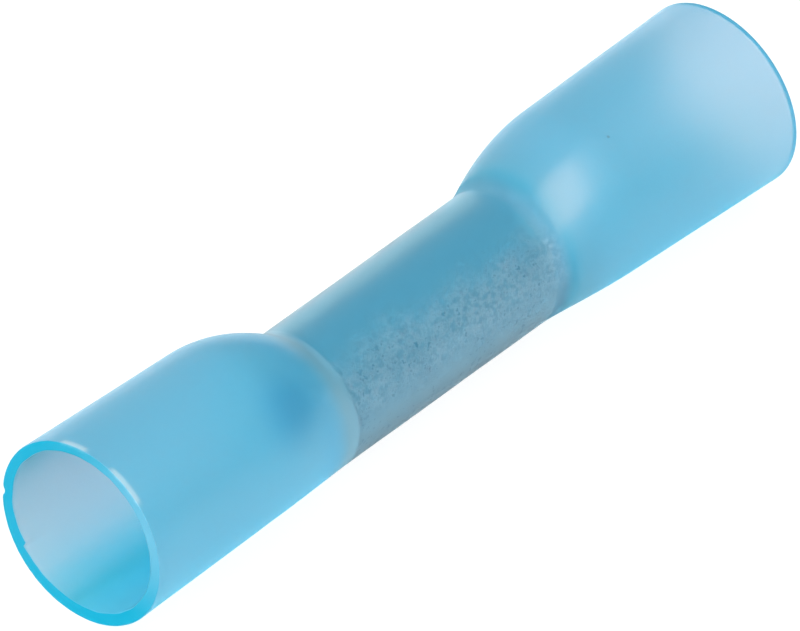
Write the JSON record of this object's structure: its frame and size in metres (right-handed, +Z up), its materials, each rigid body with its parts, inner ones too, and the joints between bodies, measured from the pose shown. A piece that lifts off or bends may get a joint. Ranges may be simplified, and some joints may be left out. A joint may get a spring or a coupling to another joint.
{
  "type": "butt splice connector",
  "caption": "Heat-shrink butt splice: translucent blue sleeve with open flared ends, shrunk at its waist on a tinned copper crimp barrel.",
  "frame": {"origin": "on the surface that the connector lies on, under the middle of its length and width", "axes": "+X along the tube towards the square-cut end, the slanted cut is at -X; +Z up, with the waist hanging low; +Y to the side"},
  "size_m": [0.0326, 0.007, 0.007],
  "materials": {
    "blue_sleeve": "translucent, satin, tinted through",
    "tinned_copper": "dull bright tin plating on copper",
    "clear_adhesive": "frosted, blotchy hot-melt film"
  },
  "bodies": {
    "root": {"heat_shrink_sleeve": "blue_sleeve", "crimp_barrel": "tinned_copper", "sealing_adhesive": "clear_adhesive"}
  },
  "joints": []
}
